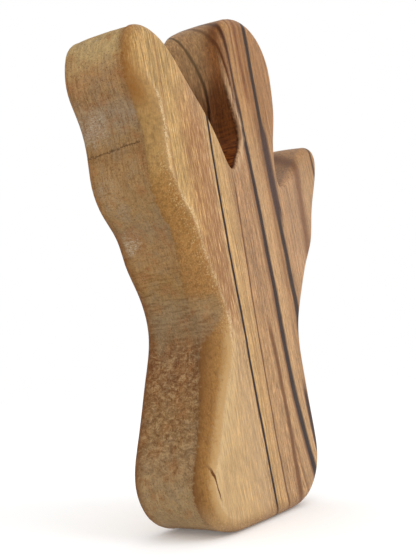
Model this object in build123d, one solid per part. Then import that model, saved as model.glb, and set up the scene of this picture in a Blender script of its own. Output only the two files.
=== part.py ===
from build123d import *
import math
import os

# Mezuzah case: an olive wood block in the outline of a three-armed letter, with a scroll pocket in its back.
# Millimetres. +Z is up, the front faces -Y and the back, which goes against the doorpost, faces +Y.
# The origin is the centre of the flat foot at the bottom of the block, at half its thickness.

# Block
THICKNESS = 22.0
FRONT_Y = -THICKNESS / 2
BACK_Y = THICKNESS / 2
FOOT_HALF = 14.0            # half of the flat foot that the case can stand on
FRONT_ROUNDING = 3.6
BACK_ROUNDING = 2.4

# Scroll pocket and the dovetail groove of its cover, cut in the back
POCKET_X = 5.6              # the pocket runs up into the middle arm, which is a little right of the foot
POCKET_WIDTH = 12.0
POCKET_DEPTH = 14.6         # from the back face
POCKET_BOTTOM = 7.5
POCKET_TOP = 120.5          # some millimetres longer than the scroll, so that it can be tipped out
DOVETAIL_ANGLE = 26.0
GROOVE_MOUTH = 13.4         # width of the groove in the back face; it widens inwards
GROOVE_DEPTH = 3.2
GROOVE_TOP = 123.5

# Cover
SIDE_CLEARANCE = 0.15
FACE_CLEARANCE = 0.1
COVER_LIFT = 0.3            # the cover's lower end stands this far above the foot
SCOOP_RADIUS = 12.0
SCOOP_DEPTH = 1.1
SCOOP_Z = 24.0

# Scroll
SHEET_THICKNESS = 0.3
ROLL_PITCH = 0.5            # growth of the roll's radius in one turn
ROLL_INNER_RADIUS = 2.5
ROLL_HALF_TURNS = 9
SHEET_HEIGHT = 100.0
SLEEVE_INNER_RADIUS = 5.0
SLEEVE_WALL = 0.3
SLEEVE_HEIGHT = 101.5
SLEEVE_BOTTOM = 10.9
SCROLL_Y = BACK_Y - (GROOVE_DEPTH + POCKET_DEPTH) / 2   # midway between the cover and the pocket's floor

# Foam mounting pads
PAD_WIDTH = 10.0
PAD_HEIGHT = 18.0
PAD_THICKNESS = 1.0
PAD_CORNER = 1.5
PAD_CENTRES = {
    "mounting_pad_upper_left": (-33.0, 92.0),
    "mounting_pad_upper_right": (32.5, 88.0),
    "mounting_pad_lower_left": (-19.0, 21.0),
    "mounting_pad_lower_right": (19.0, 21.0),
}

# Outline, as X and Z, seen from the front with -X at the left. Each stretch is one smooth curve.
# Right flank, from the foot: rounded corner, waist, then the scalloped edge of the right arm up to its tip.
RIGHT_FLANK = [(FOOT_HALF, 0), (27.5, 3.8), (32.3, 12), (30.4, 24), (26.8, 38), (25.2, 50), (30.0, 62.5),
               (35.0, 71.5), (40.3, 79.5), (42.8, 89), (46.5, 98), (49.2, 106), (48.6, 111.5), (45, 113.8)]
RIGHT_ARM_TOP = [(45, 113.8), (37.5, 110.2), (28, 101), (20.8, 94.8)]
NOTCH_RIGHT = (18.8, 94.2)
MIDDLE_ARM = [(17.3, 95.8), (16.8, 102), (17.4, 107), (19.2, 115), (19.3, 124), (17, 133.5), (10.5, 140),
              (2.5, 141.5), (-5.5, 139), (-10, 135.4), (-11.6, 128), (-11.1, 120.5), (-8.9, 112.5), (-6.1, 107),
              (-5.1, 102.2), (-6.7, 97.8), (-8.5, 94.4)]
NOTCH_LEFT = (-10.8, 92.3)
LEFT_ARM_TOP = [(-14, 94.3), (-21.7, 103.6), (-31.2, 111.8), (-39.6, 118), (-45.5, 119.2)]
LEFT_FLANK = [(-45.5, 119.2), (-51, 116.8), (-52.6, 111.5), (-51.7, 105), (-48, 98.5), (-45.7, 91.5),
              (-44.4, 84), (-40.6, 77.3), (-35.5, 72), (-32.6, 66), (-28.2, 59.5), (-24.3, 49), (-26.6, 37.5),
              (-30, 25), (-32.3, 12), (-27.5, 3.8), (-FOOT_HALF, 0)]
# Directions in which the outline enters and leaves the round bottoms of the two notches
NOTCH_RIGHT_IN = (-0.75, -0.65)
NOTCH_RIGHT_OUT = (-0.2, 1)
NOTCH_LEFT_IN = (-0.3, -1)
NOTCH_LEFT_OUT = (-0.6, 0.75)


def curve(points, start, end):
    """A smooth edge on the back plane through X, Z points, leaving and arriving along two directions."""
    on_plane = [Vector(x, BACK_Y, z) for x, z in points]
    directions = [Vector(x, 0, z).normalized() for x, z in (start, end)]
    return Edge.make_spline(on_plane, tangents=directions, scale=False)


def letter_face():
    """The outline of the letter on the back plane of the block."""
    foot = Edge.make_line((-FOOT_HALF, BACK_Y, 0), (FOOT_HALF, BACK_Y, 0))
    right_notch = [RIGHT_ARM_TOP[-1], NOTCH_RIGHT, MIDDLE_ARM[0]]
    left_notch = [MIDDLE_ARM[-1], NOTCH_LEFT, LEFT_ARM_TOP[0]]
    return Face(Wire([
        foot,
        curve(RIGHT_FLANK, (1, 0), (-1, 0)),
        curve(RIGHT_ARM_TOP, (-1, 0), NOTCH_RIGHT_IN),
        curve(right_notch, NOTCH_RIGHT_IN, NOTCH_RIGHT_OUT),
        curve(MIDDLE_ARM, NOTCH_RIGHT_OUT, NOTCH_LEFT_IN),
        curve(left_notch, NOTCH_LEFT_IN, NOTCH_LEFT_OUT),
        curve(LEFT_ARM_TOP, NOTCH_LEFT_OUT, (-1, 0)),
        curve(LEFT_FLANK, (-1, 0), (1, 0)),
    ]))


def rounded_block():
    """The block before anything is cut in it: the outline at full thickness with its edges rounded."""
    block = Solid.extrude(letter_face(), Vector(0, -THICKNESS, 0))
    front_rim = block.faces().sort_by(Axis.Y)[0].edges()
    block = block.fillet(FRONT_ROUNDING, front_rim)
    back_rim = block.faces().sort_by(Axis.Y)[-1].edges()
    return block.fillet(BACK_ROUNDING, back_rim)


def dovetail(mouth, top, inset, depth):
    """A dovetail strip with a round upper end, that runs out below the foot. It is `mouth` wide at `inset` below
    the back face, and widens from there over its depth."""
    radius = mouth / 2
    below = -5.0
    with BuildSketch(Plane.XZ.offset(-(BACK_Y - inset))) as sketch:
        with BuildLine():
            Line((POCKET_X - radius, top - radius), (POCKET_X - radius, below))
            Line((POCKET_X - radius, below), (POCKET_X + radius, below))
            Line((POCKET_X + radius, below), (POCKET_X + radius, top - radius))
            ThreePointArc((POCKET_X + radius, top - radius), (POCKET_X, top), (POCKET_X - radius, top - radius))
        make_face()
    return extrude(sketch.sketch, depth, dir=(0, -1, 0), taper=-DOVETAIL_ANGLE)


def scroll_pocket():
    """The routed pocket, with half-round ends."""
    length = POCKET_TOP - POCKET_BOTTOM
    with BuildSketch(Plane.XZ.offset(-BACK_Y)) as sketch:
        with Locations((POCKET_X, (POCKET_TOP + POCKET_BOTTOM) / 2)):
            SlotOverall(length, POCKET_WIDTH, rotation=90)
    return extrude(sketch.sketch, POCKET_DEPTH, dir=(0, -1, 0))


def case_body():
    groove = dovetail(GROOVE_MOUTH, GROOVE_TOP, 0, GROOVE_DEPTH)
    return rounded_block().cut(groove, scroll_pocket())


def back_cover():
    """The sliding strip. Its lower end follows the rounded edge of the block, a little above the foot."""
    # The sides lean, so a strip that starts deeper starts wider.
    mouth = GROOVE_MOUTH + 2 * FACE_CLEARANCE * math.tan(math.radians(DOVETAIL_ANGLE)) - 2 * SIDE_CLEARANCE
    depth = GROOVE_DEPTH - 2 * FACE_CLEARANCE
    strip = dovetail(mouth, GROOVE_TOP - SIDE_CLEARANCE, FACE_CLEARANCE, depth)
    scoop_y = BACK_Y - FACE_CLEARANCE - SCOOP_DEPTH + SCOOP_RADIUS
    scoop = Sphere(SCOOP_RADIUS).moved(Location((POCKET_X, scoop_y, SCOOP_Z)))
    lifted_block = rounded_block().moved(Location((0, 0, COVER_LIFT)))
    return strip.intersect(lifted_block)[0].cut(scoop)


def spiral_arcs(offset):
    """Half circles of a growing roll, as (centre X, radius, start angle), moved outwards by offset."""
    step = ROLL_PITCH / 2
    arcs = []
    for turn in range(ROLL_HALF_TURNS):
        centre = step / 2 if turn % 2 else -step / 2
        arcs.append((centre, ROLL_INNER_RADIUS + turn * step + offset, 180.0 * (turn % 2)))
    return arcs


def parchment_scroll():
    """One sheet rolled up: half circles whose radius grows, closed by the sheet's two edges."""
    half = SHEET_THICKNESS / 2
    with BuildSketch() as sketch:
        with BuildLine():
            inner = [CenterArc((x, 0), r, start, 180) for x, r, start in spiral_arcs(-half)]
            outer = [CenterArc((x, 0), r, start, 180) for x, r, start in spiral_arcs(half)]
            Line(inner[0] @ 0, outer[0] @ 0)
            Line(inner[-1] @ 1, outer[-1] @ 1)
        make_face()
    roll = extrude(sketch.sketch, SHEET_HEIGHT)
    gap = (SLEEVE_HEIGHT - SHEET_HEIGHT) / 2
    return roll.moved(Location((POCKET_X, SCROLL_Y, SLEEVE_BOTTOM + gap)))


def scroll_sleeve():
    radius = SLEEVE_INNER_RADIUS + SLEEVE_WALL
    base = Location((POCKET_X, SCROLL_Y, SLEEVE_BOTTOM))
    tube = extrude(Circle(radius) - Circle(SLEEVE_INNER_RADIUS), SLEEVE_HEIGHT)
    return tube.moved(base)


def mounting_pad(x, z):
    plane = Plane.XZ.offset(-BACK_Y)
    face = plane * Location((x, z)) * RectangleRounded(PAD_WIDTH, PAD_HEIGHT, PAD_CORNER)
    return extrude(face, PAD_THICKNESS, dir=(0, 1, 0))


os.makedirs("parts", exist_ok=True)
export_step(case_body(), "parts/case_body.step")
export_step(back_cover(), "parts/back_cover.step")
export_step(parchment_scroll(), "parts/parchment_scroll.step")
export_step(scroll_sleeve(), "parts/scroll_sleeve.step")
for name, (pad_x, pad_z) in PAD_CENTRES.items():
    export_step(mounting_pad(pad_x, pad_z), f"parts/{name}.step")
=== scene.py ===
"""Looks of the olive wood mezuzah case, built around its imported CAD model.

Shapes are worked out in millimetres and become metres when a mesh is made. The front of the case faces -Y."""

import math

import bmesh
import bpy
import numpy as np
from mathutils import Matrix, Vector, noise
from mathutils.geometry import delaunay_2d_cdt


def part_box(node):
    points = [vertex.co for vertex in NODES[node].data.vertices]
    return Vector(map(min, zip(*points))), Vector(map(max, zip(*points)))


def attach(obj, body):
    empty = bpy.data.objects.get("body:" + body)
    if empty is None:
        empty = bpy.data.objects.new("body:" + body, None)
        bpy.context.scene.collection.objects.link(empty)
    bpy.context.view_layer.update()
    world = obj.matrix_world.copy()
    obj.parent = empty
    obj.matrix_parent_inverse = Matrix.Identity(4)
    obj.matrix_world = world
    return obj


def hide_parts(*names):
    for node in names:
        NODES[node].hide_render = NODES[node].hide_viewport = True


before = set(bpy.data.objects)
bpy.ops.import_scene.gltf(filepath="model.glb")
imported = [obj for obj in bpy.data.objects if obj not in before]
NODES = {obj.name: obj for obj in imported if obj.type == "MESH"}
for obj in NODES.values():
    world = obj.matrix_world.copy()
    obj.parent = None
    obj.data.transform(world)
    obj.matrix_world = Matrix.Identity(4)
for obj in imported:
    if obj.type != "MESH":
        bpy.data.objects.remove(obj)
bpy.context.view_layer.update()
MM = 0.001

# The block, as in the CAD: front and back faces, and the cuts in its back
FRONT_Y = -11.0
BACK_Y = 11.0
THICKNESS = BACK_Y - FRONT_Y
SECTION_Y = -5.5            # a depth that only the outline crosses, between the front rounding and the pocket
BACK_ROUNDING = 2.4
QUARTER_ROUND = 2           # roundness of a bevel that is a quarter circle
POCKET_X = 5.6
POCKET_HALF = 6.0
POCKET_BOTTOM = 7.5
POCKET_TOP = 120.5
POCKET_DEPTH = 14.6
GROOVE_HALF = 6.7
GROOVE_TOP = 123.5
GROOVE_DEPTH = 3.2
DOVETAIL_SLOPE = math.tan(math.radians(26))

# Mesh resolution
OUTLINE_STEP = 0.42
SPLINE_STEPS = 10           # points worked out on each span of the outline's curve, before it is spaced evenly
WALL_ROWS = 34
BEVEL_RINGS = 8
BACK_RINGS = 6
FACE_STEP = 1.5
FACE_ROW = 0.866            # height of a row of even triangles, as a share of their side
TURN_STEPS = 24             # steps in a half circle
SHARP_ANGLE = math.radians(32)

# Places on the outline, as X and Z
RIGHT_TIP = (45, 113.8)
RIGHT_NOTCH = (18.8, 94.2)
LEFT_NOTCH = (-10.8, 92.3)
LEFT_TIP = (-45.5, 119.2)
CROWN = (-2, 141)       # top of the middle arm
LEFT_ARM_BEND = (-31.2, 111.8)
LEFT_FLANK_X, RIGHT_FLANK_X = -13, 20   # the flanks lie outside these, the foot between them

# How the front edge is worn down around the outline: X, Z, how far the bevel reaches in over the front face,
# how far down the side, and its roundness (2 is a quarter ellipse, 1 a flat chamfer)
EDGE_STATIONS = [
    (0, 0, 3, 3.4, 2), (27.5, 3.8, 4.6, 5, 2), (30.4, 24, 3.2, 3.6, 1.9), (25.2, 50, 2.8, 3, 1.8),
    (35, 71.5, 2.8, 3.2, 1.8), (42.8, 89, 2.6, 3, 1.8), (48.6, 111.5, 2.8, 2.8, 1.9),
    (37.5, 110.2, 2.6, 2.6, 2), (24, 97.6, 2.2, 2.4, 2), (18.8, 94.2, 1.6, 1.8, 1.8),
    (17.4, 107, 2.8, 2.8, 2), (19.3, 124, 3.2, 3.2, 2), (2.5, 141.5, 3.4, 3.4, 2),
    (-10, 135.4, 3.2, 3, 2), (-11.3, 121, 2, 2, 1.8), (-9, 112.5, 1, 1.1, 1.7),
    (-5.1, 102.2, 0.6, 0.7, 1.6), (-10.8, 92.3, 0.6, 0.7, 1.6), (-17, 98, 0.9, 1, 1.8),
    (-21.7, 103.6, 1.6, 1.6, 1.9), (-31.2, 111.8, 2.3, 2.4, 1.9), (-39.6, 118, 2.8, 3, 2),
]
BEVEL_BLUR = 1.3            # smooths the steps between the stations, in mm along the outline
# The left flank's bevel is a hand-cut facet that swells and narrows with height: Z and the same three sizes
FLANK_REACH_IN = [(0, 3.2), (8, 2.8), (15, 3.3), (20, 4.5), (31, 5.2), (37, 6.3), (43, 7.2), (49, 6.3), (56, 5),
                  (61, 4.7), (66, 4.8), (72, 4.6), (76, 4.4), (79, 4.9), (85, 3.6), (92, 4), (97, 4.6),
                  (100, 5.1), (103, 3.4), (108, 3.1), (119, 3)]
FLANK_REACH_DOWN = [(0, 3.4), (4, 4.2), (9.9, 4.8), (16.6, 3.6), (21, 3.4), (27.5, 3.6), (36.8, 4.6), (45.3, 5.3),
                    (50.3, 6.2), (56.5, 7.3), (60.6, 6.5), (65, 5.2), (71.5, 4.4), (74, 4.8), (77, 4.7),
                    (82.6, 3.9), (89, 3.3), (93.7, 3.8), (98, 4.1), (101.6, 3.8), (105.6, 3.5), (110, 3.4),
                    (119, 3.2)]
FLANK_ROUNDNESS = [(0, 2), (8, 1.7), (20, 1.42), (95, 1.42), (101, 1.6), (108, 1.9), (119, 2)]
CRACK_Z = 91              # a fine crack across the sawn left side
DEEPEST_SAW_MARK = 0.6


# ---- shapes ----

def ease(low, high, values):
    """0 below low, 1 above high, smooth between. low may be the larger."""
    t = np.clip((np.asarray(values, float) - low) / (high - low), 0, 1)
    return t * t * (3 - 2 * t)


def wobble(points, scale, seed):
    """Smooth noise from -1 to 1 at each point, with features about `scale` mm wide."""
    return np.array([noise.noise(Vector(p) / scale + Vector((seed, -seed, 2 * seed))) for p in points])


def bell(values, width):
    """1 at 0, falling smoothly to both sides."""
    return np.exp(-(values / width) ** 2)


def section_points(node, y):
    """The closed line in which a plane of constant y cuts a CAD node, as X, Z in mm, anticlockwise seen from
    the front."""
    bm = bmesh.new()
    bm.from_mesh(NODES[node].data)
    bmesh.ops.remove_doubles(bm, verts=bm.verts, dist=1e-7)
    everything = bm.verts[:] + bm.edges[:] + bm.faces[:]
    cut = bmesh.ops.bisect_plane(bm, geom=everything, plane_co=(0, y * MM, 0), plane_no=(0, 1, 0))
    edges = {e for e in cut["geom_cut"] if isinstance(e, bmesh.types.BMEdge)}
    start = here = min(edges, key=lambda e: e.index).verts[0]
    line, used = [], set()
    while True:
        line.append((here.co.x / MM, here.co.z / MM))
        step = next((e for e in here.link_edges if e in edges and e not in used), None)
        if step is None:
            break
        used.add(step)
        here = step.other_vert(here)
        if here == start:
            break
    bm.free()
    line = np.array(line)
    area = np.sum(line[:, 0] * np.roll(line[:, 1], -1) - np.roll(line[:, 0], -1) * line[:, 1])
    return line if area > 0 else line[::-1]


def even_loop(points, step):
    """Evenly spaced points on the smooth closed curve through the given ones, and how far along each one is."""
    longest_span, shortest_span = 2.5, 0.02
    filled = []
    for a, b in zip(points, np.roll(points, -1, axis=0)):
        pieces = max(1, int(np.linalg.norm(b - a) / longest_span))
        filled += [a + (b - a) * k / pieces for k in range(pieces)]
    p = np.array(filled)
    p = p[np.linalg.norm(p - np.roll(p, 1, axis=0), axis=1) > shortest_span]
    p0, p1, p2, p3 = np.roll(p, 1, axis=0), p, np.roll(p, -1, axis=0), np.roll(p, -2, axis=0)

    def gap(a, b):
        return np.sqrt(np.linalg.norm(b - a, axis=1))[:, None]

    def between(t, a, b, start, end):
        return a + (b - a) * (t - start) / (end - start)

    t1 = gap(p0, p1)
    t2 = t1 + gap(p1, p2)
    t3 = t2 + gap(p2, p3)
    fine = []
    for k in range(SPLINE_STEPS):
        t = t1 + (t2 - t1) * k / SPLINE_STEPS
        a1, a2, a3 = between(t, p0, p1, 0, t1), between(t, p1, p2, t1, t2), between(t, p2, p3, t2, t3)
        fine.append(between(t, between(t, a1, a2, 0, t2), between(t, a2, a3, t1, t3), t1, t2))
    fine = np.stack(fine, axis=1).reshape(-1, 2)
    first = np.argmin(np.hypot(fine[:, 0], fine[:, 1]))
    fine = np.roll(fine, -first, axis=0)
    closed = np.vstack([fine, fine[:1]])
    length = np.concatenate([[0], np.cumsum(np.linalg.norm(np.diff(closed, axis=0), axis=1))])
    count = int(length[-1] / step)
    at = np.arange(count) * length[-1] / count
    return np.stack([np.interp(at, length, closed[:, k]) for k in (0, 1)], axis=1), at


def blur_ring(values, sigma):
    """Gaussian smoothing of values around the closed outline; sigma in mm."""
    reach = int(4 * sigma / OUTLINE_STEP)
    offsets = np.arange(-reach, reach + 1)
    weights = np.exp(-0.5 * (offsets * OUTLINE_STEP / sigma) ** 2)
    return sum(w * np.roll(values, k) for k, w in zip(offsets, weights)) / weights.sum()


class Outline:
    """The outline of the block with its outward directions, and the size of the front bevel at each point."""

    def __init__(self):
        self.points, self.arc = even_loop(section_points("case_body", SECTION_Y), OUTLINE_STEP)
        self.count = len(self.points)
        along = np.roll(self.points, -1, axis=0) - np.roll(self.points, 1, axis=0)
        along /= np.linalg.norm(along, axis=1)[:, None]
        self.out = np.stack([along[:, 1], -along[:, 0]], axis=1)
        x, z = self.points.T
        stations = sorted((self.nearest_index(sx, sz), *rest) for sx, sz, *rest in EDGE_STATIONS)
        at = [s[0] for s in stations]
        sizes = [np.interp(np.arange(self.count), at, [s[k] for s in stations], period=self.count)
                 for k in (1, 2, 3)]
        index = np.arange(self.count)
        self.left_flank = (index > self.nearest_index(*LEFT_TIP)) & (x < LEFT_FLANK_X)
        self.right_flank = (index < self.nearest_index(*RIGHT_TIP)) & (x > RIGHT_FLANK_X)
        for size, table in zip(sizes, (FLANK_REACH_IN, FLANK_REACH_DOWN, FLANK_ROUNDNESS)):
            size[self.left_flank] = np.interp(z[self.left_flank], *zip(*table))
        ragged = wobble([(a, 0, 0) for a in self.arc], 2.2, 3.1) * 0.35
        ragged += wobble([(a, 0, 0) for a in self.arc], 0.9, 8.4) * 0.16
        worn = blur_ring(self.left_flank * ease(40, 50, z) * ease(104, 96, z), 2.0)
        smooth_in, self.reach_down, self.roundness = (blur_ring(size, BEVEL_BLUR) for size in sizes)
        self.reach_in = smooth_in + ragged * worn

    def nearest_index(self, x, z):
        return int(np.argmin(np.hypot(self.points[:, 0] - x, self.points[:, 1] - z)))

    def nearest(self, xz):
        """Index of the nearest outline point, and how far inside the outline each X, Z is."""
        index, inside = [], []
        for block in np.array_split(np.asarray(xz), max(1, len(xz) // 4000)):
            gaps = block[:, None, :] - self.points[None, :, :]
            squares = (gaps ** 2).sum(axis=2)
            best = squares.argmin(axis=1)
            gap = gaps[np.arange(len(block)), best]
            index.append(best)
            inside.append(-(gap * self.out[best]).sum(axis=1))
        return np.concatenate(index), np.concatenate(inside)


def bevel_drop(inset, reach_in, reach_down, roundness):
    """How far below the flat face a bevel is, at a distance in from the outline."""
    left = np.clip(1 - inset / reach_in, 0, 1)
    return reach_down * (1 - (1 - left ** roundness) ** (1 / roundness))


def cap_layout(line, reach_in, rings):
    """X, Z points of one face of the block: the outline, rings over the bevel, then an even filling. Also the
    triangles between them, and for each point its number before the triangulation, which is the outline's own
    number for a point on the outline."""
    crowding = 1.35             # draws the rings together near the outline, where the bevel is steepest
    layers = [line.points]
    for k in range(1, rings + 1):
        inset = reach_in * (1 - np.cos(math.radians(90) * k / rings) ** crowding)
        ring = line.points - line.out * inset[:, None]
        _, inside = line.nearest(ring)
        layers.append(ring[inside > inset - 0.03])      # none where the ring folds over itself in a notch
    low, high = line.points.min(axis=0), line.points.max(axis=0)
    rows = np.arange(low[1], high[1], FACE_STEP * FACE_ROW)
    grid = [(x + (row % 2) * FACE_STEP / 2, z) for row, z in enumerate(rows)
            for x in np.arange(low[0], high[0], FACE_STEP)]
    index, inside = line.nearest(grid)
    layers.append(np.array(grid)[inside > reach_in[index] + 0.55 * FACE_STEP])
    flat = [Vector(p) for p in np.vstack(layers)]
    boundary = list(range(line.count))
    made, _, triangles, ids, *_ = delaunay_2d_cdt(flat, [], [boundary], 1, 1e-6)
    return np.array([(p.x, p.y) for p in made]), triangles, [old[0] if old else -1 for old in ids]


def sawn_relief(line, i, y):
    """How far the sawn left side dips below the outline, at outline point i and depths y: long swells, a fine
    roughness, the saw's chatter in two places, and the crack. All in mm."""
    arc, z = line.arc[i], line.points[i, 1]
    at = [(arc, v, 0) for v in y]
    dip = 0.16 + 0.14 * wobble(at, 9.0, 1.7) + 0.05 * wobble(at, 1.6, 4.2)
    chatter = bell(z - 56, 12) + bell(z - 98, 5)
    dip += 0.03 * chatter * np.sin(2 * math.pi * arc / 1.7 + 2 * wobble(at, 7.0, 6.3))
    crack = z - CRACK_Z - 0.5 * wobble(at, 3.0, 9.1) - 0.05 * (y - 5)
    dip += 0.06 * bell(crack, 0.35) * ease(-7, -5, y)
    return np.clip(dip, 0, DEEPEST_SAW_MARK)


def slope_tops(line, verts):
    """The tops of the arms are not sawn square: they rise a little towards the back, and are crowned between."""
    co = np.array(verts)
    index, inside = line.nearest(co[:, (0, 2)])
    upward = ease(0.0, 0.95, line.out[:, 1]) * ease(102, 112, line.points[:, 1])
    lift = blur_ring(upward, 4.0)[index] * bell(np.maximum(inside, 0), 8.0)
    depth = np.clip((co[:, 1] - FRONT_Y) / THICKNESS, 0, 1)
    rise = 0.9 * (co[:, 1] + 1.0) / BACK_Y + 0.55 * np.sin(math.pi * depth) - 0.7 * ease(0.76, 1.0, depth)
    co[:, 2] += lift * rise
    return [tuple(v) for v in co]


def block_mesh(line):
    """The block without its cuts: vertices in mm, and faces."""
    verts, faces = [], []

    def add_cap(reach_in, rings, height, flip):
        points, triangles, source = cap_layout(line, reach_in, rings)
        index, inside = line.nearest(points)
        inside[np.array(source) < line.count] = 0
        start = len(verts)
        rim = [0] * line.count
        for k, i in enumerate(source):
            if 0 <= i < line.count:
                index[k] = i
                rim[i] = start + k
        y = height(points, index, np.maximum(inside, 0))
        verts.extend((x, v, z) for (x, z), v in zip(points, y))
        for tri in triangles:
            tri = [start + t for t in tri]
            faces.append(tri[::-1] if flip else tri)
        return rim

    def front_height(points, index, inside):
        drop = bevel_drop(inside, line.reach_in[index], line.reach_down[index], line.roundness[index])
        flat = np.clip(inside / line.reach_in[index], 0, 1)
        at = [(x, 0, z) for x, z in points]
        facet = line.left_flank[index] * np.sin(math.pi * flat)
        marks = facet * (0.13 * wobble(at, 3.2, 2.9) + 0.06 * wobble(at, 1.3, 5.5))
        hollow = 0.10 * (1 + wobble([(x, 0, z * 0.5) for x, z in points], 16.0, 0.6))
        return FRONT_Y + drop + marks + hollow * flat

    def back_height(points, index, inside):
        return BACK_Y - bevel_drop(inside, BACK_ROUNDING, BACK_ROUNDING, QUARTER_ROUND)

    front = add_cap(line.reach_in, BEVEL_RINGS, front_height, False)
    back = add_cap(np.full(line.count, BACK_ROUNDING), BACK_RINGS, back_height, True)
    rows = [front]
    top = FRONT_Y + line.reach_down
    steps = np.linspace(0, 1, WALL_ROWS + 1)[1:-1]
    fade = ease(0, 0.05, steps) * ease(1, 0.93, steps)      # no relief next to the roundings
    walls = np.zeros((len(steps), line.count, 3))
    for i in range(line.count):
        y = top[i] + (BACK_Y - BACK_ROUNDING - top[i]) * steps
        dip = sawn_relief(line, i, y) * fade if line.left_flank[i] else 0.04 * fade
        walls[:, i, 0] = line.points[i, 0] - line.out[i, 0] * dip
        walls[:, i, 1] = y
        walls[:, i, 2] = line.points[i, 1] - line.out[i, 1] * dip
    for row in walls:
        start = len(verts)
        verts.extend(map(tuple, row))
        rows.append(list(range(start, start + line.count)))
    rows.append(back)
    for upper, lower in zip(rows, rows[1:]):
        for i in range(line.count):
            j = (i + 1) % line.count
            faces.append((upper[i], lower[i], lower[j], upper[j]))
    return slope_tops(line, verts), faces


def strip_outline(half, top, bottom, round_bottom):
    """An upright strip with a round top, and a straight or a round bottom, as X, Z: the same number of points
    for every strip."""
    turn = [math.pi * k / TURN_STEPS for k in range(TURN_STEPS + 1)]
    upper = [(POCKET_X + half * math.cos(t), top - half + half * math.sin(t)) for t in turn]
    if round_bottom:
        lower = [(POCKET_X - half * math.cos(t), bottom + half - half * math.sin(t)) for t in turn]
    else:
        lower = [(POCKET_X - half + 2 * half * k / TURN_STEPS, bottom) for k in range(TURN_STEPS + 1)]
    return upper + lower


def add_object(name, data):
    obj = bpy.data.objects.new(name, data)
    bpy.context.scene.collection.objects.link(obj)
    return obj


def mesh_object(name, verts, faces):
    """An object in the scene from points in mm and faces, with its faces turned outwards."""
    mesh = bpy.data.meshes.new(name)
    mesh.from_pydata([(x * MM, y * MM, z * MM) for x, y, z in verts], [], [list(f) for f in faces])
    bm = bmesh.new()
    bm.from_mesh(mesh)
    bmesh.ops.recalc_face_normals(bm, faces=bm.faces)
    bm.to_mesh(mesh)
    bm.free()
    return add_object(name, mesh)


def band_faces(first, count):
    """Quads between a closed ring of `count` vertices that starts at `first` and the ring that comes after it."""
    steps = [(first + k, first + (k + 1) % count) for k in range(count)]
    return [(a, b, b + count, a + count) for a, b in steps]


def pocket_cutter():
    """Dovetail groove and scroll pocket as one closed solid."""
    above, below_foot = 2.0, -4.0
    narrowed, widened = above * DOVETAIL_SLOPE, GROOVE_DEPTH * DOVETAIL_SLOPE
    # each level's Y, half width, top, bottom, and whether its bottom is round
    levels = [
        (BACK_Y + above, GROOVE_HALF - narrowed, GROOVE_TOP - narrowed, below_foot, False),
        (BACK_Y - GROOVE_DEPTH, GROOVE_HALF + widened, GROOVE_TOP + widened, below_foot, False),
        (BACK_Y - GROOVE_DEPTH, POCKET_HALF, POCKET_TOP, POCKET_BOTTOM, True),
        (BACK_Y - POCKET_DEPTH, POCKET_HALF, POCKET_TOP, POCKET_BOTTOM, True),
    ]
    verts, faces = [], []
    for y, half, top, bottom, rounded in levels:
        verts += [(x, y, z) for x, z in strip_outline(half, top, bottom, rounded)]
    n = len(verts) // len(levels)
    for level in range(len(levels) - 1):
        faces += band_faces(level * n, n)
    faces.append(tuple(range(n)))
    faces.append(tuple(range(len(verts) - 1, len(verts) - 1 - n, -1)))
    return mesh_object("cutter", verts, faces)


def mark_zones(mesh, line):
    """Writes masks from 0 to 1 on the mesh, for the materials: where it is sawn side, bevel, and so on. Also the
    distance along the outline, in mm."""
    def mask(name, values):
        attribute = mesh.attributes.new(name, "FLOAT", "POINT")
        attribute.data.foreach_set("value", np.asarray(values, np.float32))

    flat = np.zeros(len(mesh.vertices) * 3, np.float32)
    mesh.vertices.foreach_get("co", flat)
    co = flat.reshape(-1, 3).astype(float) / MM
    index, inside = line.nearest(co[:, (0, 2)])
    front, back = co[:, 1] - FRONT_Y, BACK_Y - co[:, 1]
    reach_in, reach_down = line.reach_in[index], line.reach_down[index]
    z = co[:, 2]
    flank = blur_ring(line.left_flank.astype(float), 1.0)[index] * ease(1.0, 5.0, z)
    other = blur_ring(line.right_flank.astype(float), 1.0)[index] * ease(1.0, 5.0, z)
    outer = ease(2.6, 1.6, inside)
    mask("side", np.maximum(flank, 0.8 * other) * outer)
    mask("drop", np.clip(0.5 + (front - reach_down) / 2.6, 0, 1))
    mask("bevel", flank * ease(reach_down + 2.4, reach_down + 1.4, front)
         * np.clip(0.5 - (inside - reach_in) / 2.8, 0, 1))
    # where a painted highlight runs along the crease
    mask("crease", flank * bell(inside - reach_in - 0.05, 0.42) * ease(1.5, 0.7, front))
    mask("seam", flank * bell(front - reach_down, 0.4) * ease(0.9, 0.5, inside))
    mask("rim", ease(4.2, 0.8, back) * outer * (1 - 0.4 * (1 - flank)))
    mask("wall", ease(reach_down * 0.6, reach_down + 0.6, front) * outer * ease(0, 2, back))
    arc = line.arc[index]
    left_notch, right_notch, crown, far = (line.arc[line.nearest_index(*place)]
                                           for place in (LEFT_NOTCH, RIGHT_NOTCH, CROWN, LEFT_ARM_BEND))
    # where painted shade darkens the notch bottoms, the left notch most
    notch_shade = np.maximum(bell(arc - left_notch, 13.0), 0.22 * bell(arc - right_notch, 7.0))
    mask("notch_shade", np.minimum(1, 1.25 * notch_shade) * outer * ease(0.4, 2.0, front))
    inner = ease(crown, crown + 14, arc) * ease(far + 6, far - 6, arc)
    mask("inner", inner * outer * ease(0.6, reach_down + 0.4, front))
    lip = ease(crown + 24, crown + 34, arc) * ease(left_notch + 1, left_notch - 3, arc)
    mask("lip", lip * outer * bell(front - 1.2, 0.5))
    mask("arris", lip * bell(inside - 0.7, 0.5) * ease(1.3, 0.5, front))
    tip = ease(97, 102, z) * ease(-36, -44, co[:, 0]) * outer
    mask("tip", tip * bell(front - 2.8, 1.8))
    # where a painted highlight lies on the front beside the lower bevel
    mask("shoulder", flank * bell(inside - reach_in - 1.6, 2.2) * ease(3.0, 1.0, front))
    mask("arc", arc)


def named_material(name):
    return bpy.data.materials.get(name) or bpy.data.materials.new(name)


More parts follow.
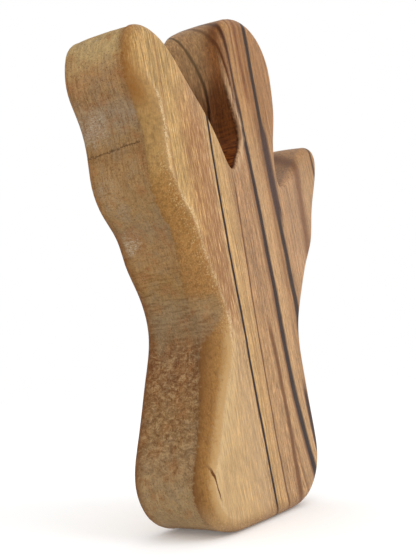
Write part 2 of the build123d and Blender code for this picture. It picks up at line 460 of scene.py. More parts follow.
def carved_block():
    """The block with its groove and pocket cut out, and its masks for the materials."""
    line = Outline()
    block = mesh_object("carved_case", *block_mesh(line))
    cutter = pocket_cutter()
    for obj in (block, cutter):
        for name in ("outer", "routed"):
            obj.data.materials.append(named_material(name))
    for polygon in cutter.data.polygons:
        polygon.material_index = 1
    boolean = block.modifiers.new("cuts", "BOOLEAN")
    boolean.operation = "DIFFERENCE"
    boolean.solver = "EXACT"
    boolean.object = cutter
    bpy.context.view_layer.update()
    carved = bpy.data.meshes.new_from_object(block.evaluated_get(bpy.context.evaluated_depsgraph_get()))
    block.modifiers.clear()
    block.data = carved
    bpy.data.objects.remove(cutter)
    mark_zones(carved, line)
    carved.polygons.foreach_set("use_smooth", [True] * len(carved.polygons))
    carved.set_sharp_from_angle(angle=SHARP_ANGLE)
    return block


# ---- materials ----

LIGHT_SHARE = 0.76          # the studio light on a surface that faces the camera brings its colour back up


def paint(red, green, blue):
    """A colour as it should look, 0 to 255, as the linear colour of the surface."""
    def linear(v):
        v /= 255
        return v / 12.92 if v <= 0.04045 else ((v + 0.055) / 1.055) ** 2.4
    return (*(linear(v) * LIGHT_SHARE for v in (red, green, blue)), 1.0)


class Shader:
    """Short names for building a material's node tree. An input is a number, a colour or another node's output."""

    def __init__(self, name):
        self.material = named_material(name)
        self.material.use_nodes = True
        self.tree = self.material.node_tree
        self.tree.nodes.clear()
        self.surface = self.tree.nodes.new("ShaderNodeBsdfPrincipled")
        self.add("ShaderNodeOutputMaterial", (self.surface.outputs[0],))
        place = self.tree.nodes.new("ShaderNodeTexCoord").outputs["Object"]
        self.place = self.scaled(place, (1 / MM,) * 3)      # in mm
        self.x, self.y, self.z = self.add("ShaderNodeSeparateXYZ", (self.place,)).outputs

    def add(self, kind, inputs, **settings):
        """A new node, with its inputs by number or by name."""
        node = self.tree.nodes.new(kind)
        for key, value in settings.items():
            setattr(node, key, value)
        for key, value in (inputs.items() if isinstance(inputs, dict) else enumerate(inputs)):
            self.put(node.inputs[key], value)
        return node

    def put(self, socket, value):
        if isinstance(value, bpy.types.NodeSocket):
            self.tree.links.new(value, socket)
        else:
            socket.default_value = value

    def math(self, operation, a, b=0, c=0):
        return self.add("ShaderNodeMath", (a, b, c), operation=operation).outputs[0]

    def times(self, a, b):
        return self.math("MULTIPLY", a, b)

    def plus(self, a, b):
        return self.math("ADD", a, b)

    def minus(self, a, b):
        return self.math("SUBTRACT", a, b)

    def times_plus(self, a, b, c):
        return self.math("MULTIPLY_ADD", a, b, c)

    def scaled(self, vector, factors):
        return self.add("ShaderNodeVectorMath", (vector, factors), operation="MULTIPLY").outputs[0]

    def noise(self, vector, scale, detail, rough=0.5, distortion=0):
        inputs = {"Vector": vector, "Scale": scale, "Detail": detail, "Roughness": rough, "Distortion": distortion}
        return self.add("ShaderNodeTexNoise", inputs, noise_dimensions="3D").outputs["Fac"]

    def stretched(self, axes, factors, detail, rough=0.5, distortion=0):
        """Noise on three coordinates, each multiplied by its factor: the smaller, the longer its features."""
        vector = self.add("ShaderNodeCombineXYZ", tuple(map(self.times, axes, factors))).outputs[0]
        return self.noise(vector, 1, detail, rough, distortion)

    def sway(self, noise, amount):
        """A noise as an offset to both sides, half the amount each way."""
        return self.times(self.minus(noise, 0.5), amount)

    def ease(self, value, low, high, start=0, end=1):
        """From start at low to end at high, smoothly, and constant beyond."""
        inputs = {"Value": value, "From Min": low, "From Max": high, "To Min": start, "To Max": end}
        return self.add("ShaderNodeMapRange", inputs, interpolation_type="SMOOTHSTEP").outputs[0]

    def between(self, value, low, full, falling, high):
        """1 from full to falling, and 0 below low and above high."""
        return self.times(self.ease(value, low, full), self.ease(value, high, falling))

    def ramp(self, value, stops, low, high):
        """Colour along a value between low and high, from stops of a value and a colour."""
        node = self.add("ShaderNodeValToRGB", (self.math("DIVIDE", self.minus(value, low), high - low),))
        elements = node.color_ramp.elements
        while len(elements) < len(stops):
            elements.new(0.5)
        for element, (at, *colour) in zip(elements, stops):
            element.position = (at - low) / (high - low)
            element.color = paint(*colour)
        return node.outputs[0]

    def mix(self, factor, a, b, blend="MIX"):
        return self.add("ShaderNodeMix", {0: factor, 6: a, 7: b}, data_type="RGBA", blend_type=blend).outputs[2]

    def shade(self, colour, factor):
        """The colour, brighter or darker by a number."""
        return self.add("ShaderNodeVectorMath", {0: colour, "Scale": factor}, operation="SCALE").outputs[0]

    def vary(self, colour, noise, spread, dark, light):
        """The colour times a factor: dark where a noise is `spread` below its middle, light as far above it."""
        return self.shade(colour, self.ease(noise, 0.5 - spread, 0.5 + spread, dark, light))

    def stain(self, colour, mask, *tone):
        """The colour, covered by another one as far as the mask says."""
        return self.mix(mask, colour, paint(*tone))

    def flecks(self, colour, *kinds):
        """The colour, with others over it. Each has a noise that it shows by, the noise's value where it starts and
        where it is full, its strength, its colour, and a mask."""
        for noise, low, high, strength, tone, where in kinds:
            colour = self.stain(colour, self.times(where, self.ease(noise, low, high, 0, strength)), *tone)
        return colour

    def attribute(self, name):
        return self.add("ShaderNodeAttribute", (), attribute_name=name).outputs["Fac"]

    def bump(self, height):
        """Relief from a height in mm."""
        self.put(self.surface.inputs["Normal"], self.add("ShaderNodeBump", {
            "Strength": 1, "Distance": MM, "Height": height}).outputs[0])

    def finish(self, colour, roughness, specular=0.09):
        self.put(self.surface.inputs["Base Color"], colour)
        self.put(self.surface.inputs["Roughness"], roughness)
        self.surface.inputs["Specular IOR Level"].default_value = specular
        return self.material


# How the growth rings run through the block: mm across them for each mm of height, how that grows with height,
# how they fan out with height, mm across them for each mm of depth, and how far they wander and waver
RING_TILT = 0.249
RING_TILT_GROWTH = 0.0003
RING_FAN = 0.0016
RING_SLANT = 0.72
RING_WANDER, RING_WAVER = 2.2, 0.9
MID_HEIGHT = 60.0
# Colour across the growth rings of the plank, by ring coordinate
RING_COLOURS = [
    (-60, 206, 166, 106), (-35, 208, 167, 106), (-15, 209, 167, 108), (-9, 206, 162, 108),
    (-5, 203, 160, 114), (-0.8, 206, 165, 118), (1.8, 214, 172, 118), (5.5, 212, 169, 115),
    (8.6, 204, 161, 112), (10.4, 185, 141, 98), (13.5, 190, 147, 106), (17, 186, 142, 102),
    (20.5, 194, 152, 110), (23.8, 184, 139, 98), (27.4, 206, 163, 116), (33, 204, 160, 114),
    (36.8, 182, 136, 92), (41.5, 193, 149, 106), (50, 197, 154, 114), (60, 190, 147, 108),
    (72, 197, 156, 114), (100, 188, 146, 104),
]
FOOT, TOP = -9, 150         # below and above the block, for a streak that runs out there
# Dark growth rings. Ring coordinate at mid height, its slope and its curve with height, width in mm and its growth
# with height, softness, lowest and highest Z, colour, strength
STREAKS = [
    (0.94, 0.43, 3.29, 1.35, 0, 0.5, FOOT, 118, (44, 24, 28), 1),
    (9.7, 5.87, 7.68, 0.9, 0, 0.7, FOOT, 93, (104, 62, 36), 0.9),
    (5.2, 3, 5, 0.7, 0, 0.9, FOOT, 80, (170, 122, 76), 0.6),
    (25.9, -2.08, 0.57, 3.5, -1.3, 0.5, FOOT, 118, (62, 45, 40), 1),
    (25.9, -2.08, 0.57, 2.1, 0, 0.8, 106, TOP, (84, 50, 28), 1),
    (23.9, -2.3, 0.57, 1.5, 0, 0.9, FOOT, TOP, (138, 92, 58), 0.6),
    (16.6, -11.6, -20, 2.9, 0, 0.7, FOOT, 55, (126, 82, 48), 0.95),
    (19, -2, 0, 1.1, 0, 0.8, FOOT, 24, (150, 104, 64), 0.7),
    (13.2, -4, 0, 0.9, 0, 0.9, FOOT, 62, (160, 114, 72), 0.5),
    (20.4, -3, 0, 1.2, 0, 0.9, 50, 112, (160, 112, 72), 0.6),
    (40.2, -2.4, 4.6, 3.7, -0.6, 0.6, 44, TOP, (66, 48, 40), 1),
    (40.6, -2.4, 4.6, 6, 0, 0.5, 80, 114, (82, 58, 50), 0.95),
    (40.2, -2.4, 4.6, 5.2, 0, 0.5, 38, 58, (70, 48, 44), 0.95),
    (36.6, -2, 4, 2.2, 0, 0.9, 56, TOP, (144, 98, 62), 0.5),
    (36.5, 7, 0, 2.8, 0, 0.5, FOOT, 38, (76, 52, 44), 1),
    (57.6, 16.7, 0, 6.5, 0, 0.9, 62, 118, (136, 94, 66), 0.9),
    (22, 8, -13, 1.3, 0, 0.9, 104, TOP, (92, 48, 18), 1),
    (19.4, -6.7, 0, 0.8, 0, 0.7, 94, TOP, (46, 24, 12), 1),
    (33.2, 0, 0, 3, 0, 1, 112, TOP, (140, 84, 42), 0.85),
    (29.6, 0, 0, 1.4, 0, 1, 120, TOP, (128, 78, 40), 0.7),
    (84, -3, 0, 2.2, 0, 0.6, FOOT, TOP, (84, 58, 44), 0.9),
    (-22, 3, 0, 1.4, 0, 1, FOOT, TOP, (172, 126, 80), 0.6),
]
BEVEL_COLOURS = [
    (0, 168, 124, 74), (8, 158, 112, 62), (20, 152, 104, 52), (30, 144, 96, 46), (40, 158, 112, 60),
    (46, 160, 116, 68), (56, 166, 120, 70), (66, 170, 124, 70), (75, 164, 118, 62), (82, 166, 122, 66),
    (88, 176, 138, 84), (97, 170, 132, 80), (103, 178, 136, 84), (110, 192, 150, 96), (119, 198, 158, 104),
]
SIDE_COLOURS = [
    (0, 174, 147, 107), (8, 175, 146, 104), (18, 164, 132, 93), (28, 158, 122, 80), (38, 152, 111, 72),
    (46, 148, 116, 79), (52, 155, 129, 94), (60, 166, 129, 78), (66, 173, 133, 84), (73, 158, 130, 94),
    (78, 167, 132, 86), (86, 174, 136, 89), (90.5, 161, 124, 80), (94, 166, 134, 91),
    (98, 163, 140, 112), (103, 165, 131, 90), (107, 180, 136, 89), (112, 197, 166, 114),
    (119, 206, 175, 122),
]


def ring_coordinate(s, shift):
    """Number of mm across the growth rings, bent as the grain runs, on a piece cut with a shift in the plank.
    Also Y and Z in the plank."""
    x, y, z = (s.plus(v, d) for v, d in zip((s.x, s.y, s.z), shift))
    tilt = s.times_plus(z, RING_TILT_GROWTH, RING_TILT)
    u = s.times_plus(z, tilt, x)
    u = s.plus(u, s.times(s.times(x, z), RING_FAN))
    u = s.minus(u, s.times(s.minus(y, FRONT_Y), RING_SLANT))
    slow = s.stretched((x, y, z), (0.05, 0.05, 0.016), 1)
    quick = s.stretched((x, y, z), (0.2, 0.2, 0.09), 2)
    u = s.plus(u, s.sway(slow, RING_WANDER))
    # below mid height, the rings at the middle and right of the front swing aside
    below = s.math("MINIMUM", s.times_plus(z, 0.01, -0.01 * MID_HEIGHT), 0)
    swing = s.times(s.times_plus(below, 31.8, 11.3), below)
    u = s.minus(u, s.times(swing, s.ease(u, 17, 26)))
    return s.plus(u, s.sway(quick, RING_WAVER)), y, z


def grain(s, shift=(0, 0, 0), streaks=STREAKS):
    """Olive wood colour over the whole piece: ring bands, dark streaks, fibres and pores. Also the ring coordinate
    and the height it goes by, and three fibre patterns: long, fine and torn."""
    u, y, z = ring_coordinate(s, shift)
    fibre = s.stretched((u, y, z), (1.5, 0.9, 0.05), 4, 0.62)
    hair = s.stretched((u, y, z), (6, 4, 0.22), 3, 0.6)
    colour = s.ramp(s.times_plus(fibre, 2.4, s.minus(u, 1.2)), RING_COLOURS, -60, 100)
    plank = s.stretched((u, y, z), (0.42, 0.2, 0.012), 3, 0.6)
    colour = s.flecks(colour, (plank, 0.52, 0.68, 0.3, (178, 130, 90), 1))
    fresh = s.times(s.ease(z, 64, 40, 0, 0.7), s.between(u, 8, 12, 24, 30))
    colour = s.stain(colour, fresh, 204, 160, 112)
    fuzz = s.stretched((u, y, z), (3, 2, 0.28), 4, 0.68)
    torn = s.math("MAXIMUM", s.ease(u, 1.5, 0), s.between(u, 9, 12, 20, 24))
    colour = s.mix(torn, colour, s.vary(colour, fuzz, 0.16, 0.7, 1.26))
    colour = s.vary(colour, fibre, 0.2, 0.72, 1.22)
    colour = s.vary(colour, hair, 0.18, 0.77, 1.2)
    height = s.times(s.minus(z, MID_HEIGHT), 0.01)
    edge = s.sway(hair, 0.9)
    for centre, slope, curve, width, growth, soft, low, high, tone, strength in streaks:
        middle = s.times_plus(s.times_plus(height, curve, slope), height, centre)
        away = s.math("ABSOLUTE", s.minus(u, middle))
        away = s.times_plus(edge, soft * width * 0.5, away)
        half = s.times_plus(height, growth / 2, width / 2)
        inner, rest = s.times(half, 1 - soft), s.times(half, 1 + soft * 0.6)
        mask = s.ease(away, inner, rest, strength, 0)
        if low != FOOT:
            mask = s.times(mask, s.ease(z, low, low + 6))
        if high != TOP:
            mask = s.times(mask, s.ease(z, high, high - 8))
        colour = s.stain(colour, mask, *tone)
    pores = s.stretched((u, y, z), (3, 3, 0.4), 1)
    colour = s.shade(colour, s.ease(pores, 0.58, 0.7, 1, s.ease(u, -6, -14, 0.66, 0.86)))
    spots = s.noise(s.place, 1.7, 3, 0.7)
    colour = s.vary(colour, spots, 0.18, 0.9, 1.1)
    return colour, u, z, fibre, hair, fuzz


MATT = 0.85                 # roughness of sawn wood
# Pale scuffs on the sawn side, partly painted sheen: Z, Y, half height, half width, strength
SCUFFS_AND_SHEEN = [(97, 6, 5, 5.5, 0.5), (71, 5.5, 3.4, 4, 0.8), (81, 5, 6, 5, 0.22)]


def case_wood():
    """Oiled olive wood: planed front, hand-worn bevel, sawn sides, and walls between the arms darkened with painted
    shade.
    """
    s = Shader("outer")
    colour, u, z, fibre, hair, fuzz = grain(s)
    # blotches of about 10 mm, 1 mm and a third of a mm
    cloud = s.noise(s.place, 0.11, 2)
    mottle = s.noise(s.place, 0.9, 4, 0.6)
    grit = s.noise(s.place, 2.6, 3, 0.65)
    ragged = s.plus(s.sway(fuzz, 0.55), s.sway(grit, 0.35))
    drop = s.plus(s.sway(mottle, 1.3), s.times_plus(ragged, 0.5, s.attribute("drop")))
    side = s.times(s.attribute("side"), s.ease(drop, 0.42, 0.6))
    soft = s.ease(z, 50, 30, 0.1, 0.17)
    edge = s.plus(s.attribute("bevel"), ragged)     # a hard edge above, a soft one below
    bevel = s.ease(edge, s.minus(0.5, soft), s.plus(0.5, soft))

    # front: paler and silky at the lower left, pinkish along the left arm, amber at the middle arm's top
    pale = s.times(s.ease(z, 58, 26), s.ease(u, 1, -4))
    colour = s.stain(colour, s.times(pale, 0.55), 216, 181, 134)
    silky = s.stretched((u, s.y, z), (3.4, 2, 0.3), 3, 0.7, 0.5)
    colour = s.mix(pale, colour, s.vary(colour, silky, 0.16, 0.84, 1.15))
    pink = s.times(s.between(u, -17, -11, -1.5, 0), s.between(z, 40, 56, 96, 110))
    colour = s.stain(colour, s.times(pink, s.ease(fuzz, 0.6, 0.42, 0.12, 0.85)), 162, 110, 66)
    colour = s.vary(colour, cloud, 0.2, 0.94, 1.05)
    amber = s.times(s.ease(z, 92, 118), s.ease(u, 20, 26))
    colour = s.mix(amber, colour, (0.84, 0.74, 0.6, 1), "MULTIPLY")

    # hand-worn bevel of the left flank: golden and blotchy, paler towards the arm's tip
    gold = s.ramp(s.times_plus(cloud, 14, s.minus(z, 7)), BEVEL_COLOURS, 0, 119)
    gold = s.vary(gold, mottle, 0.18, 0.8, 1.2)
    gold = s.vary(gold, hair, 0.2, 0.84, 1.14)
    depth = s.times_plus(mottle, 2, s.minus(s.y, 1))
    tooled = s.ease(z, 94, 80, 0.2, 1)
    below = s.ease(z, 58, 44, 0.15, 1)
    torn = s.times(s.between(z, 44, 54, 84, 96), s.ease(depth, -9, -10.4, 0.12, 1))
    gold = s.flecks(
        gold,
        (grit, 0.52, 0.64, 0.55, (122, 74, 26), tooled),
        (grit, 0.46, 0.36, 0.3, (206, 160, 98), tooled),
        (fuzz, 0.36, 0.62, 0.5, (178, 132, 66), below),
        (mottle, 0.5, 0.34, 0.5, (122, 76, 30), below),
        # across the lower bevel: painted shade towards the side, painted highlight towards the crease
        (depth, -10, -6.4, 0.75, (112, 66, 24), below),
        (depth, -9.4, -10.8, 0.7, (220, 180, 124), below),
        # pale specks near the crease are painted glints on the torn grain
        (grit, 0.44, 0.36, 0.8, (224, 184, 128), torn),
        (mottle, 0.5, 0.62, 0.6, (140, 84, 26), torn))
    # painted highlight: a straw-coloured sheen on the front beside the lower bevel, then the bevel itself
    straw_highlight = s.times(s.attribute("shoulder"), s.between(z, 4, 12, 44, 56))
    colour = s.stain(colour, s.times(straw_highlight, s.ease(fuzz, 0.4, 0.62, 0.15, 0.85)), 232, 196, 142)
    shown = s.times(s.ease(z, 0, 10, 0.2, 0.95), s.ease(z, 110, 102))
    colour = s.mix(s.times(bevel, shown), colour, gold)
    # painted highlight along the crease between front and bevel, broken into pale splinters of torn fibre
    worn = s.times(s.attribute("crease"), s.ease(grit, 0.4, 0.52))
    worn = s.times(worn, s.times(s.ease(z, 108, 102), s.ease(cloud, 0.35, 0.55, 0.45, 1)))
    curl = s.noise(s.place, 1.1, 4, 0.7, 1.2)
    worn = s.times(worn, s.ease(curl, 0.42, 0.54, 0.1, 1))
    colour = s.stain(colour, s.times(worn, s.ease(z, 34, 60, 0.5, 0.95)), 246, 214, 168)
    # a short split low on the bevel, and the foot darker at its lowest few mm
    split = s.math("ABSOLUTE", s.times_plus(z, 0.41, s.times_plus(mottle, 0.9, s.plus(s.x, 23))))
    split = s.times(s.between(z, 8.5, 10.5, 15.5, 18), s.ease(split, 0.42, 0.14))
    split = s.times(split, s.ease(s.y, -6, -8))
    colour = s.stain(colour, split, 108, 64, 30)
    foot = s.times(s.ease(z, 5, 0.5), s.ease(grit, 0.4, 0.56, 0.25, 0.8))
    colour = s.stain(colour, foot, 148, 104, 58)

    # sawn side, matt and greyish: fibres across and along it, blotches, dark and pale flecks, pale scuffs with
    # painted sheen, and a crack
    arc = s.attribute("arc")
    across = s.stretched((arc, s.y, 0), (0.2, 1.4, 1), 4, 0.68)
    along = s.stretched((arc, s.y, 7), (1.7, 0.2, 1), 3, 0.65)
    burl = s.stretched((arc, s.y, 3), (0.5, 0.6, 1), 4, 0.7, 0.6)
    rough = s.ramp(s.times_plus(cloud, 9, s.minus(z, 4.5)), SIDE_COLOURS, 0, 119)
    rough = s.vary(rough, across, 0.2, 0.86, 1.13)
    rough = s.vary(rough, burl, 0.2, 0.86, 1.12)
    patch = s.noise(s.place, 0.24, 4, 0.65)
    bands = s.times(s.ease(z, 42, 48), s.ease(z, 76, 60, 0.3, 1))
    rough = s.flecks(
        rough,
        (patch, 0.5, 0.66, 0.5, (164, 108, 64), 1),
        (patch, 0.5, 0.36, 0.4, (152, 130, 102), 1),
        (along, 0.5, 0.64, 0.5, (108, 70, 38), bands),
        (along, 0.46, 0.34, 0.4, (178, 146, 104), bands),
        (across, 0.5, 0.36, 0.5, (138, 92, 50), s.between(z, 78, 84, 106, 112)))
    knots = s.stretched((arc, s.y, 5), (0.85, 0.55, 1), 5, 0.75, 0.8)
    speckle = s.times(s.ease(knots, 0.44, 0.64), s.ease(z, 50, 42, 0.1, 0.85))
    speckle = s.times(speckle, s.ease(z, 8, 26, 0.25, 1))
    rough = s.mix(speckle, rough, s.mix(s.ease(z, 30, 44), paint(112, 74, 40), paint(104, 54, 24)))
    chips = s.times(s.ease(knots, 0.47, 0.38), s.between(z, 8, 20, 42, 50))
    rough = s.stain(rough, s.times(chips, 0.65), 192, 158, 114)
    rough = s.flecks(rough, (grit, 0.54, 0.68, 0.6, (98, 64, 34), 1), (grit, 0.46, 0.34, 0.45, (184, 150, 108), 1))
    scratch = s.stretched((arc, s.y, 9), (2.2, 0.9, 1), 4, 0.75, 1.5)
    # pale scuffs with scratches, partly painted sheen
    for at_z, at_y, tall, wide, strength in SCUFFS_AND_SHEEN:
        dz = s.times(s.minus(z, at_z), 1 / tall)
        dy = s.times(s.minus(s.y, at_y), 1 / wide)
        away = s.times_plus(dz, dz, s.times(dy, dy))
        away = s.plus(s.sway(patch, 3.5), away)
        scuff_and_sheen = s.times(s.ease(away, 1.1, -0.2), s.ease(scratch, 0.45, 0.6))
        rough = s.stain(rough, s.times(scuff_and_sheen, strength), 214, 196, 170)
    wander = s.times_plus(mottle, 1.6, s.times(s.y, -0.05))
    crack = s.math("ABSOLUTE", s.minus(s.minus(z, CRACK_Z - 0.55), wander))
    left = s.ease(s.x, 0, -5)
    crack = s.times(s.ease(crack, 0.28, 0.06), s.times(left, s.ease(s.y, -6.5, -5.5)))
    crack = s.times(crack, s.ease(grit, 0.42, 0.54, 0.1, 1))
    rough = s.stain(rough, s.times(crack, 0.3), 112, 72, 38)

    # a tongue of the sawn side cuts into the bevel at the waist
    up_side = s.times(s.minus(s.y, FRONT_Y), 1 / 6)
    wavy = s.times_plus(mottle, 6, -3)
    under = s.minus(s.plus(wavy, 58.3), z)
    above = s.plus(z, s.times_plus(up_side, 9, s.minus(wavy, 51.5)))
    tongue = s.times(s.ease(under, 0, 1.6), s.ease(above, 0, 2.4))
    tongue = s.times(s.times(tongue, bevel), s.ease(up_side, 0.02, 0.2, 0, 0.85))
    colour = s.mix(s.math("MAXIMUM", side, tongue), colour, rough)

    # dark edges: between side and bevel, at the left arm's tip, and at the back
    seam = s.times(s.attribute("seam"), s.ease(grit, 0.35, 0.6, 0.2, 0.6))
    colour = s.stain(colour, s.times(seam, s.ease(z, 44, 49, 0.8, 0.1)), 126, 82, 38)
    tip = s.times(s.attribute("tip"), s.ease(mottle, 0.3, 0.7, 0.6, 1))
    colour = s.stain(colour, tip, 152, 98, 40)
    rim = s.times(s.attribute("rim"), s.ease(z, 92, 66, 0.3, 0.85))
    rim = s.times(rim, s.ease(mottle, 0.35, 0.6, 0.6, 1))
    colour = s.stain(colour, rim, 116, 66, 26)

    # walls of the arms and the bottoms of the notches, with painted shade in the notches
    notch_shade, inner = s.attribute("notch_shade"), s.attribute("inner")
    walls = s.shade(colour, s.ease(s.attribute("wall"), 0, 1, 1, 0.88))
    colour = s.mix(side, walls, colour)
    # the middle arm's left wall: painted shade, darker low down and away from the front, red-brown from painted
    # bounce light and the wood's resin; tan near the front and at the top
    dusk = s.ease(s.times_plus(cloud, 8, z), 112, 129)
    near_front = s.ease(s.times_plus(dusk, 1.5, s.times_plus(cloud, 3, s.y)), 0.5, -5)
    shaded_wall = s.mix(near_front, paint(172, 134, 90), s.mix(dusk, paint(104, 54, 16), paint(138, 84, 36)))
    shaded_wall = s.mix(dusk, s.mix(0.75, shaded_wall, paint(108, 56, 16)), shaded_wall)
    shaded_wall = s.vary(shaded_wall, fibre, 0.2, 0.92, 1.07)
    shaded_wall = s.vary(shaded_wall, mottle, 0.2, 0.93, 1.06)
    lines = s.scaled(colour, (2.6, 4.4, 9))
    shaded_wall = s.mix(s.times_plus(dusk, -0.28, 0.9), shaded_wall, lines, "MULTIPLY")
    colour = s.mix(s.times(inner, 0.92), colour, shaded_wall)
    saw = s.stretched((s.z, s.y, 1), (1.5, 0.15, 1), 2, 0.6)
    # painted shade at the bottoms of the notches, dark red-brown, with the saw's lines across them
    bottom = s.mix(s.ease(saw, 0.4, 0.62), paint(88, 38, 4), paint(156, 84, 24))
    colour = s.mix(s.times(notch_shade, 0.94), colour, bottom)
    lip = s.times(s.attribute("lip"), s.ease(mottle, 0.38, 0.58, 0.1, 0.9))
    colour = s.stain(colour, lip, 58, 26, 10)
    arris = s.times(s.attribute("arris"), s.ease(fuzz, 0.4, 0.56, 0.1, 0.85))
    colour = s.stain(colour, arris, 222, 184, 144)

    # roughness and relief
    gloss = s.ease(fibre, 0.3, 0.7, 0.36, 0.5)
    gloss = s.math("MAXIMUM", gloss, s.times(s.math("MAXIMUM", side, notch_shade), MATT))
    fine = s.times(hair, 0.05)
    coarse = s.times(s.plus(grit, s.times_plus(across, 0.6, -0.8)), s.times(side, 0.25))
    dents = s.times(s.sway(grit, bevel), 0.14)
    sunk = s.times(s.times(crack, side), -0.3)
    s.bump(s.plus(s.plus(fine, coarse), s.plus(dents, sunk)))
    return s.finish(colour, gloss)


def routed_wood():
    """The same plank where the router cut it: paler, unoiled, with cutter marks."""
    s = Shader("routed")
    colour, _, _, _, hair, _ = grain(s)
    colour = s.stain(colour, 0.35, 206, 170, 124)
    cutter_turns = 4.2          # radians for each mm of height
    ridges = s.math("SINE", s.times_plus(hair, 1.5, s.times(s.z, cutter_turns)))
    fuzz = s.noise(s.place, 2.2, 4, 0.65)
    colour = s.shade(colour, s.ease(ridges, -1, 1, 0.93, 1.03))
    colour = s.flecks(colour, (fuzz, 0.55, 0.7, 0.25, (120, 84, 52), 1))
    s.bump(s.times_plus(ridges, 0.03, s.times(fuzz, 0.12)))
    return s.finish(colour, s.ease(fuzz, 0.3, 0.7, 0.7, 0.85), 0.25)


def cover_wood():
    """A straight-grained strip from another part of the plank."""
    s = Shader("cover_olive")
    lines = [(2, 1.5, 0, 1.1, 0, 0.6, FOOT, TOP, (104, 74, 58), 0.9),
             (6.4, 3, 0, 0.7, 0, 0.7, FOOT, TOP, (140, 100, 70), 0.8),
             (-5.5, 2, 0, 2.2, 0, 0.9, FOOT, TOP, (166, 122, 82), 0.7),
             (13, -2, 0, 1.6, 0, 0.8, FOOT, TOP, (120, 86, 66), 0.8)]
    s.x = s.plus(s.x, s.times(s.z, -0.25))      # turns the grain upright
    colour, _, _, fibre, hair, _ = grain(s, (-18, 0, 6), lines)
    planed = s.stretched((s.x, 0, s.z), (0.3, 1, 1.1), 2)
    colour = s.stain(colour, 0.25, 214, 178, 130)
    colour = s.vary(colour, planed, 0.15, 0.96, 1.03)
    s.bump(s.times_plus(hair, 0.05, s.times(planed, 0.05)))
    return s.finish(colour, s.ease(fibre, 0.3, 0.7, 0.5, 0.62), 0.3)


def parchment():
    """Cream skin, clouded, with follicles and creases."""
    s = Shader("parchment_skin")
    cloud = s.noise(s.place, 0.16, 3, 0.6)
    follicles = s.noise(s.place, 3, 3, 0.6)
    creases = s.stretched((s.x, s.y, s.z), (0.6, 0.6, 0.05), 3, 0.6)
    colour = s.mix(s.ease(cloud, 0.3, 0.7), paint(236, 220, 184), paint(214, 190, 146))
    colour = s.flecks(colour, (follicles, 0.58, 0.7, 0.35, (186, 156, 112), 1))
    colour = s.vary(colour, creases, 0.15, 0.94, 1.03)
    s.bump(s.times_plus(follicles, 0.04, s.times(creases, 0.08)))
    s.surface.inputs["Subsurface Weight"].default_value = 0.08
    s.surface.inputs["Subsurface Radius"].default_value = (0.001, 0.0006, 0.0003)
    return s.finish(colour, s.ease(cloud, 0.3, 0.7, 0.52, 0.66), 0.3)


def clear_plastic():
    """Thin clear film, more visible where it turns away, with faint upright scuffs."""
    s = Shader("sleeve_clear")
    facing = s.add("ShaderNodeLayerWeight", {"Blend": 0.35}).outputs["Facing"]
    scuff_and_sheen = s.stretched((s.x, s.y, s.z), (1.2, 1.2, 0.2), 4, 0.7)
    s.put(s.surface.inputs["Alpha"], s.ease(facing, 0.1, 0.95, 0.16, 0.75))
    colour = s.mix(s.ease(scuff_and_sheen, 0.5, 0.7, 0, 0.5), paint(234, 240, 242), paint(206, 214, 216))
    s.bump(s.times(scuff_and_sheen, 0.02))
    return s.finish(colour, s.ease(scuff_and_sheen, 0.4, 0.7, 0.06, 0.2), 0.5)


def pad_foam():
    """Off-white foam with small cells."""
    s = Shader("foam_skin")
    cells = s.add("ShaderNodeTexVoronoi", {"Vector": s.place, "Scale": 3.4}, feature="F1")
    open_cells = s.ease(cells.outputs["Distance"], 0.15, 0.6)
    cloud = s.noise(s.place, 0.5, 3)
    colour = s.mix(open_cells, paint(206, 204, 196), paint(240, 239, 233))
    colour = s.vary(colour, cloud, 0.2, 0.94, 1.03)
    s.bump(s.times(open_cells, 0.08))
    return s.finish(colour, s.ease(cloud, 0.3, 0.7, 0.8, 0.92), 0.25)


# ---- pieces ----

def foam_pad(node):
    """A pad of closed-cell foam: rounded corners, bulging sides and a crowned, soft-edged outer face."""
    low, high = (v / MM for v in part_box(node))
    centre, half = (low + high) / 2, (high - low) / 2
    corner, per_corner = 1.5, 8
    tuck = 0.12                 # keeps the bulge within the pad's width
    crown = high.y - 0.01
    plan = []
    for turn, (sx, sz) in enumerate(((1, 1), (-1, 1), (-1, -1), (1, -1))):
        for k in range(per_corner + 1):
            angle = math.radians(90 * turn + 90 * k / per_corner)
            plan.append((sx * (half.x - corner), sz * (half.z - corner), math.cos(angle), math.sin(angle)))
    # depth as a share of the thickness, and how far the outline moves out there
    profile = [(0.0, -0.10), (0.06, 0.0), (0.2, 0.08), (0.5, 0.12), (0.8, 0.08), (0.92, 0.0), (0.98, -0.1),
               (1.0, -0.3), (1.0, -0.9)]
    verts, faces = [], []
    for share, grow in profile:
        for cx, cz, nx, nz in plan:
            reach = corner + grow - tuck
            verts.append((centre.x + cx + nx * reach, low.y + share * (high.y - low.y), centre.z + cz + nz * reach))
    n = len(plan)
    for row in range(len(profile) - 1):
        faces += band_faces(row * n, n)
    last = (len(profile) - 1) * n
    for row, shrink in enumerate((0.75, 0.5, 0.25)):
        for k in range(n):
            x, _, z = verts[last + k]
            dimple = 0.02 * noise.noise(Vector((x, z, 0)) / 1.5)
            verts.append((centre.x + (x - centre.x) * shrink, crown + dimple, centre.z + (z - centre.z) * shrink))
        faces += band_faces(last + row * n, n)
    end = len(verts) - n
    verts.append((centre.x, crown, centre.z))
    faces += [(end + k, end + (k + 1) % n, len(verts) - 1) for k in range(n)]
    verts.append((centre.x, low.y, centre.z))
    faces += [((k + 1) % n, k, len(verts) - 1) for k in range(n)]
    pad = mesh_object(node.replace("mounting_pad", "foam_pad"), verts, faces)
    pad.data.polygons.foreach_set("use_smooth", [True] * len(pad.data.polygons))
    return pad


body = carved_block()
case_wood()
routed_wood()
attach(body, "case")
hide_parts("case_body")

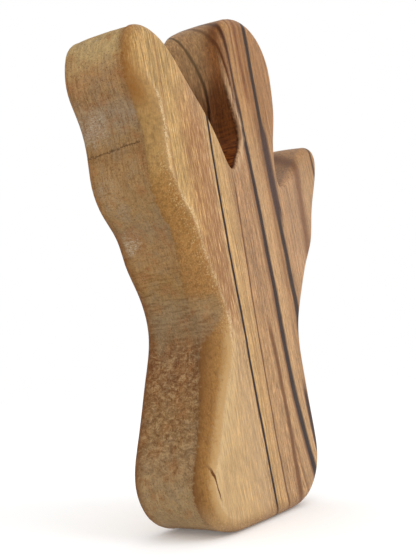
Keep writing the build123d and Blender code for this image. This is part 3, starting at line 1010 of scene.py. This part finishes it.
for node, material in (("back_cover", cover_wood()), ("parchment_scroll", parchment()),
                       ("scroll_sleeve", clear_plastic())):
    NODES[node].data.materials.clear()
    NODES[node].data.materials.append(material)

foam = pad_foam()
for node in sorted(n for n in NODES if n.startswith("mounting_pad")):
    pad = foam_pad(node)
    pad.data.materials.append(foam)
    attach(pad, "case")
    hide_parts(node)


# ---- floor, light, camera ----

FLOOR_RADIUS = 4.0
FLOOR_GAP = 0.0001          # keeps the floor out of the block's foot
LIGHTS_AIM = (0, 0, 0.07)
YAW, PITCH, ROLL = 1.0222, 0.1548, -0.0613      # radians
LENS = 44.88
CAMERA_PLACE = (-167.685, -96.79, 35.32)        # mm


def floor():
    """A wide round white floor that glows a little, so that it stays nearly white in the picture."""
    disc = bmesh.new()
    bmesh.ops.create_circle(disc, cap_ends=True, segments=96, radius=FLOOR_RADIUS)
    mesh = bpy.data.meshes.new("floor")
    disc.to_mesh(mesh)
    disc.free()
    obj = add_object("floor", mesh)
    obj.location.z = -FLOOR_GAP
    white = bpy.data.materials.new("floor_white")
    white.use_nodes = True
    surface = white.node_tree.nodes["Principled BSDF"]
    for name, value in (("Base Color", (0.93, 0.93, 0.93, 1)), ("Emission Color", (1, 1, 1, 1)),
                        ("Emission Strength", 0.12), ("Roughness", 1), ("Specular IOR Level", 0)):
        surface.inputs[name].default_value = value
    mesh.materials.append(white)


def area_light(name, place, size, power):
    """A round soft light aimed at the object, with its size in metres and its power in watts."""
    data = bpy.data.lights.new(name, "AREA")
    data.shape = "DISK"
    data.size = size
    data.energy = power
    lamp = add_object(name, data)
    lamp.location = place
    lamp.rotation_euler = (Vector(LIGHTS_AIM) - Vector(place)).to_track_quat("-Z", "Y").to_euler()


def camera():
    """The photograph's viewing angle: from the left and a little below the middle, slightly rolled."""
    data = bpy.data.cameras.new("camera")
    data.lens = LENS
    data.clip_start, data.clip_end = 0.01, 20
    obj = add_object("camera", data)
    turn = (Matrix.Rotation(-YAW, 4, "Z") @ Matrix.Rotation(math.pi / 2 + PITCH, 4, "X")
            @ Matrix.Rotation(ROLL, 4, "Z"))
    obj.matrix_world = Matrix.Translation(Vector(CAMERA_PLACE) * MM) @ turn
    bpy.context.scene.camera = obj


floor()
camera()
area_light("key", (0.05, -0.9, 0.75), 0.7, 3.2)
area_light("fill", (-0.9, -0.1, 0.35), 0.7, 0.6)
world = bpy.data.worlds.new("studio")
world.use_nodes = True
for name, value in (("Color", (1, 1, 1, 1)), ("Strength", 1)):
    world.node_tree.nodes["Background"].inputs[name].default_value = value
bpy.context.scene.world = world
bpy.context.scene.view_settings.view_transform = "Standard"
